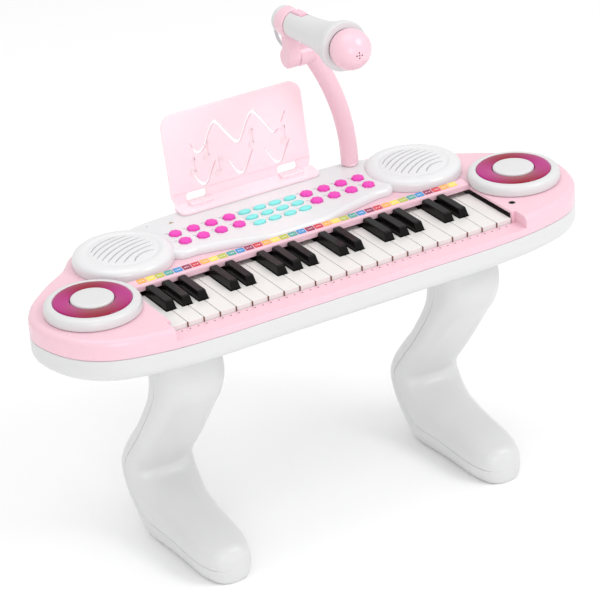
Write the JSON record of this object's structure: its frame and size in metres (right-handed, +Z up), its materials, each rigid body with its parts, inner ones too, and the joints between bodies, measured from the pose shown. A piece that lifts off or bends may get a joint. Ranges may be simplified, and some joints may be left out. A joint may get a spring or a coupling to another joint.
{
  "type": "toy electronic keyboard",
  "caption": "Child's electronic keyboard on two Z-shaped legs, with sprung keys, drum pads, button mats, a music stand and a microphone on a swivelling arm.",
  "frame": {"origin": "on the floor, under the middle of the object's box without the microphone cord", "axes": "+X along the keyboard to the player's right, -Y towards the player, +Z up"},
  "size_m": [0.567, 0.2333, 0.4671],
  "materials": {
    "pink_shell": "moulded, satin gloss, pale pink",
    "stand": "thin moulded plate, slightly translucent pale pink",
    "white_shell": "moulded, satin white",
    "white_keys": "glossy warm white",
    "black_keys": "polished black",
    "lens": "clear magenta lens",
    "magenta_buttons": "silicone, satin",
    "teal_buttons": "silicone, satin",
    "board": "laminate with solder mask",
    "cord": "matte grey sleeve"
  },
  "bodies": {
    "case": {"upper_case": "pink_shell", "lower_case": "white_shell", "battery_cover": "white_shell", "main_board": "board", "control_panel": "white_shell", "left_drum_housing": "white_shell", "right_drum_housing": "white_shell", "left_lamp_ring": "lens", "right_lamp_ring": "lens", "left_leg": "white_shell", "right_leg": "white_shell"},
    "mic_arm": {"mic_arm": "pink_shell"},
    "microphone": {"mic_clip": "pink_shell", "mic_handle": "white_shell", "mic_head": "pink_shell", "mic_cord": "cord"},
    "mic_switch": {"mic_switch": "pink_shell"},
    "music_stand": {"music_stand": "stand"},
    "left_drum_pad": {"left_drum_pad": "white_shell"},
    "right_drum_pad": {"right_drum_pad": "white_shell"},
    "left_flower_keypad": {"left_flower_keypad": "magenta_buttons"},
    "teal_keypad": {"teal_keypad": "teal_buttons"},
    "right_flower_keypad": {"right_flower_keypad": "magenta_buttons"},
    "white_key_01": {"white_key_01": "white_keys"},
    "white_key_02": {"white_key_02": "white_keys"},
    "white_key_03": {"white_key_03": "white_keys"},
    "white_key_04": {"white_key_04": "white_keys"},
    "white_key_05": {"white_key_05": "white_keys"},
    "white_key_06": {"white_key_06": "white_keys"},
    "white_key_07": {"white_key_07": "white_keys"},
    "white_key_08": {"white_key_08": "white_keys"},
    "white_key_09": {"white_key_09": "white_keys"},
    "white_key_10": {"white_key_10": "white_keys"},
    "white_key_11": {"white_key_11": "white_keys"},
    "white_key_12": {"white_key_12": "white_keys"},
    "white_key_13": {"white_key_13": "white_keys"},
    "white_key_14": {"white_key_14": "white_keys"},
    "white_key_15": {"white_key_15": "white_keys"},
    "white_key_16": {"white_key_16": "white_keys"},
    "white_key_17": {"white_key_17": "white_keys"},
    "white_key_18": {"white_key_18": "white_keys"},
    "white_key_19": {"white_key_19": "white_keys"},
    "white_key_20": {"white_key_20": "white_keys"},
    "white_key_21": {"white_key_21": "white_keys"},
    "white_key_22": {"white_key_22": "white_keys"},
    "black_key_01": {"black_key_01": "black_keys"},
    "black_key_02": {"black_key_02": "black_keys"},
    "black_key_03": {"black_key_03": "black_keys"},
    "black_key_05": {"black_key_05": "black_keys"},
    "black_key_06": {"black_key_06": "black_keys"},
    "black_key_08": {"black_key_08": "black_keys"},
    "black_key_09": {"black_key_09": "black_keys"},
    "black_key_10": {"black_key_10": "black_keys"},
    "black_key_12": {"black_key_12": "black_keys"},
    "black_key_13": {"black_key_13": "black_keys"},
    "black_key_15": {"black_key_15": "black_keys"},
    "black_key_16": {"black_key_16": "black_keys"},
    "black_key_17": {"black_key_17": "black_keys"},
    "black_key_19": {"black_key_19": "black_keys"},
    "black_key_20": {"black_key_20": "black_keys"}
  },
  "joints": [
    {"name": "mic_arm_swivel", "type": "hinge", "parent": "case", "child": "mic_arm", "pos_m": [0.112, 0.0854, 0.2773], "axis": [0, 0, 1], "range_deg": [-40, 40]},
    {"name": "microphone_tilt", "type": "hinge", "parent": "mic_arm", "child": "microphone", "pos_m": [0.059, 0.08676, 0.40305], "axis": [1, 0, 0], "range_deg": [-20, 25], "deforming": ["mic_cord"]},
    {"name": "mic_switch_slide", "type": "slide", "parent": "microphone", "child": "mic_switch", "axis": [0, -0.9986, 0.0523], "range_m": [0, 0.003]},
    {"name": "music_stand_lift", "type": "slide", "parent": "case", "child": "music_stand", "axis": [0, 0, 1], "range_m": [0, 0.02]},
    {"name": "left_drum_press", "type": "slide", "parent": "case", "child": "left_drum_pad", "axis": [0, 0, -1], "range_m": [0, 0.0015], "stiffness_N_per_m": 600, "springref_m": -0.002},
    {"name": "right_drum_press", "type": "slide", "parent": "case", "child": "right_drum_pad", "axis": [0, 0, -1], "range_m": [0, 0.0015], "stiffness_N_per_m": 600, "springref_m": -0.002},
    {"name": "left_flower_press", "type": "slide", "parent": "case", "child": "left_flower_keypad", "axis": [0, 0, -1], "range_m": [0, 0.0008], "stiffness_N_per_m": 600, "springref_m": -0.002},
    {"name": "teal_press", "type": "slide", "parent": "case", "child": "teal_keypad", "axis": [0, 0, -1], "range_m": [0, 0.0008], "stiffness_N_per_m": 600, "springref_m": -0.002},
    {"name": "right_flower_press", "type": "slide", "parent": "case", "child": "right_flower_keypad", "axis": [0, 0, -1], "range_m": [0, 0.0008], "stiffness_N_per_m": 600, "springref_m": -0.002},
    {"name": "white_key_11_hinge", "type": "hinge", "parent": "case", "child": "white_key_11", "pos_m": [-0.00825, -0.0026, 0.2575], "axis": [1, 0, 0], "range_deg": [0, 3], "stiffness_Nm_per_rad": 0.4, "springref_deg": -5.73},
    {"name": "black_key_10_hinge", "type": "hinge", "parent": "case", "child": "black_key_10", "pos_m": [-0.0165, -0.0026, 0.2575], "axis": [1, 0, 0], "range_deg": [0, 3], "stiffness_Nm_per_rad": 0.4, "springref_deg": -5.73},
    {"name": "white_key_01_hinge", "type": "hinge", "parent": "case", "child": "white_key_01", "pos_m": [-0.17325, -0.0026, 0.2575], "axis": [1, 0, 0], "range_deg": [0, 3], "stiffness_Nm_per_rad": 0.4, "springref_deg": -5.73},
    {"name": "white_key_02_hinge", "type": "hinge", "parent": "case", "child": "white_key_02", "pos_m": [-0.15675, -0.0026, 0.2575], "axis": [1, 0, 0], "range_deg": [0, 3], "stiffness_Nm_per_rad": 0.4, "springref_deg": -5.73},
    {"name": "white_key_03_hinge", "type": "hinge", "parent": "case", "child": "white_key_03", "pos_m": [-0.14025, -0.0026, 0.2575], "axis": [1, 0, 0], "range_deg": [0, 3], "stiffness_Nm_per_rad": 0.4, "springref_deg": -5.73},
    {"name": "white_key_04_hinge", "type": "hinge", "parent": "case", "child": "white_key_04", "pos_m": [-0.12375, -0.0026, 0.2575], "axis": [1, 0, 0], "range_deg": [0, 3], "stiffness_Nm_per_rad": 0.4, "springref_deg": -5.73},
    {"name": "white_key_05_hinge", "type": "hinge", "parent": "case", "child": "white_key_05", "pos_m": [-0.10725, -0.0026, 0.2575], "axis": [1, 0, 0], "range_deg": [0, 3], "stiffness_Nm_per_rad": 0.4, "springref_deg": -5.73},
    {"name": "white_key_06_hinge", "type": "hinge", "parent": "case", "child": "white_key_06", "pos_m": [-0.09075, -0.0026, 0.2575], "axis": [1, 0, 0], "range_deg": [0, 3], "stiffness_Nm_per_rad": 0.4, "springref_deg": -5.73},
    {"name": "white_key_07_hinge", "type": "hinge", "parent": "case", "child": "white_key_07", "pos_m": [-0.07425, -0.0026, 0.2575], "axis": [1, 0, 0], "range_deg": [0, 3], "stiffness_Nm_per_rad": 0.4, "springref_deg": -5.73},
    {"name": "white_key_08_hinge", "type": "hinge", "parent": "case", "child": "white_key_08", "pos_m": [-0.05775, -0.0026, 0.2575], "axis": [1, 0, 0], "range_deg": [0, 3], "stiffness_Nm_per_rad": 0.4, "springref_deg": -5.73},
    {"name": "white_key_09_hinge", "type": "hinge", "parent": "case", "child": "white_key_09", "pos_m": [-0.04125, -0.0026, 0.2575], "axis": [1, 0, 0], "range_deg": [0, 3], "stiffness_Nm_per_rad": 0.4, "springref_deg": -5.73},
    {"name": "white_key_10_hinge", "type": "hinge", "parent": "case", "child": "white_key_10", "pos_m": [-0.02475, -0.0026, 0.2575], "axis": [1, 0, 0], "range_deg": [0, 3], "stiffness_Nm_per_rad": 0.4, "springref_deg": -5.73},
    {"name": "white_key_12_hinge", "type": "hinge", "parent": "case", "child": "white_key_12", "pos_m": [0.00825, -0.0026, 0.2575], "axis": [1, 0, 0], "range_deg": [0, 3], "stiffness_Nm_per_rad": 0.4, "springref_deg": -5.73},
    {"name": "white_key_13_hinge", "type": "hinge", "parent": "case", "child": "white_key_13", "pos_m": [0.02475, -0.0026, 0.2575], "axis": [1, 0, 0], "range_deg": [0, 3], "stiffness_Nm_per_rad": 0.4, "springref_deg": -5.73},
    {"name": "white_key_14_hinge", "type": "hinge", "parent": "case", "child": "white_key_14", "pos_m": [0.04125, -0.0026, 0.2575], "axis": [1, 0, 0], "range_deg": [0, 3], "stiffness_Nm_per_rad": 0.4, "springref_deg": -5.73},
    {"name": "white_key_15_hinge", "type": "hinge", "parent": "case", "child": "white_key_15", "pos_m": [0.05775, -0.0026, 0.2575], "axis": [1, 0, 0], "range_deg": [0, 3], "stiffness_Nm_per_rad": 0.4, "springref_deg": -5.73},
    {"name": "white_key_16_hinge", "type": "hinge", "parent": "case", "child": "white_key_16", "pos_m": [0.07425, -0.0026, 0.2575], "axis": [1, 0, 0], "range_deg": [0, 3], "stiffness_Nm_per_rad": 0.4, "springref_deg": -5.73},
    {"name": "white_key_17_hinge", "type": "hinge", "parent": "case", "child": "white_key_17", "pos_m": [0.09075, -0.0026, 0.2575], "axis": [1, 0, 0], "range_deg": [0, 3], "stiffness_Nm_per_rad": 0.4, "springref_deg": -5.73},
    {"name": "white_key_18_hinge", "type": "hinge", "parent": "case", "child": "white_key_18", "pos_m": [0.10725, -0.0026, 0.2575], "axis": [1, 0, 0], "range_deg": [0, 3], "stiffness_Nm_per_rad": 0.4, "springref_deg": -5.73},
    {"name": "white_key_19_hinge", "type": "hinge", "parent": "case", "child": "white_key_19", "pos_m": [0.12375, -0.0026, 0.2575], "axis": [1, 0, 0], "range_deg": [0, 3], "stiffness_Nm_per_rad": 0.4, "springref_deg": -5.73},
    {"name": "white_key_20_hinge", "type": "hinge", "parent": "case", "child": "white_key_20", "pos_m": [0.14025, -0.0026, 0.2575], "axis": [1, 0, 0], "range_deg": [0, 3], "stiffness_Nm_per_rad": 0.4, "springref_deg": -5.73},
    {"name": "white_key_21_hinge", "type": "hinge", "parent": "case", "child": "white_key_21", "pos_m": [0.15675, -0.0026, 0.2575], "axis": [1, 0, 0], "range_deg": [0, 3], "stiffness_Nm_per_rad": 0.4, "springref_deg": -5.73},
    {"name": "white_key_22_hinge", "type": "hinge", "parent": "case", "child": "white_key_22", "pos_m": [0.17325, -0.0026, 0.2575], "axis": [1, 0, 0], "range_deg": [0, 3], "stiffness_Nm_per_rad": 0.4, "springref_deg": -5.73},
    {"name": "black_key_01_hinge", "type": "hinge", "parent": "case", "child": "black_key_01", "pos_m": [-0.165, -0.0026, 0.2575], "axis": [1, 0, 0], "range_deg": [0, 3], "stiffness_Nm_per_rad": 0.4, "springref_deg": -5.73},
    {"name": "black_key_02_hinge", "type": "hinge", "parent": "case", "child": "black_key_02", "pos_m": [-0.1485, -0.0026, 0.2575], "axis": [1, 0, 0], "range_deg": [0, 3], "stiffness_Nm_per_rad": 0.4, "springref_deg": -5.73},
    {"name": "black_key_03_hinge", "type": "hinge", "parent": "case", "child": "black_key_03", "pos_m": [-0.132, -0.0026, 0.2575], "axis": [1, 0, 0], "range_deg": [0, 3], "stiffness_Nm_per_rad": 0.4, "springref_deg": -5.73},
    {"name": "black_key_05_hinge", "type": "hinge", "parent": "case", "child": "black_key_05", "pos_m": [-0.099, -0.0026, 0.2575], "axis": [1, 0, 0], "range_deg": [0, 3], "stiffness_Nm_per_rad": 0.4, "springref_deg": -5.73},
    {"name": "black_key_06_hinge", "type": "hinge", "parent": "case", "child": "black_key_06", "pos_m": [-0.0825, -0.0026, 0.2575], "axis": [1, 0, 0], "range_deg": [0, 3], "stiffness_Nm_per_rad": 0.4, "springref_deg": -5.73},
    {"name": "black_key_08_hinge", "type": "hinge", "parent": "case", "child": "black_key_08", "pos_m": [-0.0495, -0.0026, 0.2575], "axis": [1, 0, 0], "range_deg": [0, 3], "stiffness_Nm_per_rad": 0.4, "springref_deg": -5.73},
    {"name": "black_key_09_hinge", "type": "hinge", "parent": "case", "child": "black_key_09", "pos_m": [-0.033, -0.0026, 0.2575], "axis": [1, 0, 0], "range_deg": [0, 3], "stiffness_Nm_per_rad": 0.4, "springref_deg": -5.73},
    {"name": "black_key_12_hinge", "type": "hinge", "parent": "case", "child": "black_key_12", "pos_m": [0.0165, -0.0026, 0.2575], "axis": [1, 0, 0], "range_deg": [0, 3], "stiffness_Nm_per_rad": 0.4, "springref_deg": -5.73},
    {"name": "black_key_13_hinge", "type": "hinge", "parent": "case", "child": "black_key_13", "pos_m": [0.033, -0.0026, 0.2575], "axis": [1, 0, 0], "range_deg": [0, 3], "stiffness_Nm_per_rad": 0.4, "springref_deg": -5.73},
    {"name": "black_key_15_hinge", "type": "hinge", "parent": "case", "child": "black_key_15", "pos_m": [0.066, -0.0026, 0.2575], "axis": [1, 0, 0], "range_deg": [0, 3], "stiffness_Nm_per_rad": 0.4, "springref_deg": -5.73},
    {"name": "black_key_16_hinge", "type": "hinge", "parent": "case", "child": "black_key_16", "pos_m": [0.0825, -0.0026, 0.2575], "axis": [1, 0, 0], "range_deg": [0, 3], "stiffness_Nm_per_rad": 0.4, "springref_deg": -5.73},
    {"name": "black_key_17_hinge", "type": "hinge", "parent": "case", "child": "black_key_17", "pos_m": [0.099, -0.0026, 0.2575], "axis": [1, 0, 0], "range_deg": [0, 3], "stiffness_Nm_per_rad": 0.4, "springref_deg": -5.73},
    {"name": "black_key_19_hinge", "type": "hinge", "parent": "case", "child": "black_key_19", "pos_m": [0.132, -0.0026, 0.2575], "axis": [1, 0, 0], "range_deg": [0, 3], "stiffness_Nm_per_rad": 0.4, "springref_deg": -5.73},
    {"name": "black_key_20_hinge", "type": "hinge", "parent": "case", "child": "black_key_20", "pos_m": [0.1485, -0.0026, 0.2575], "axis": [1, 0, 0], "range_deg": [0, 3], "stiffness_Nm_per_rad": 0.4, "springref_deg": -5.73}
  ]
}
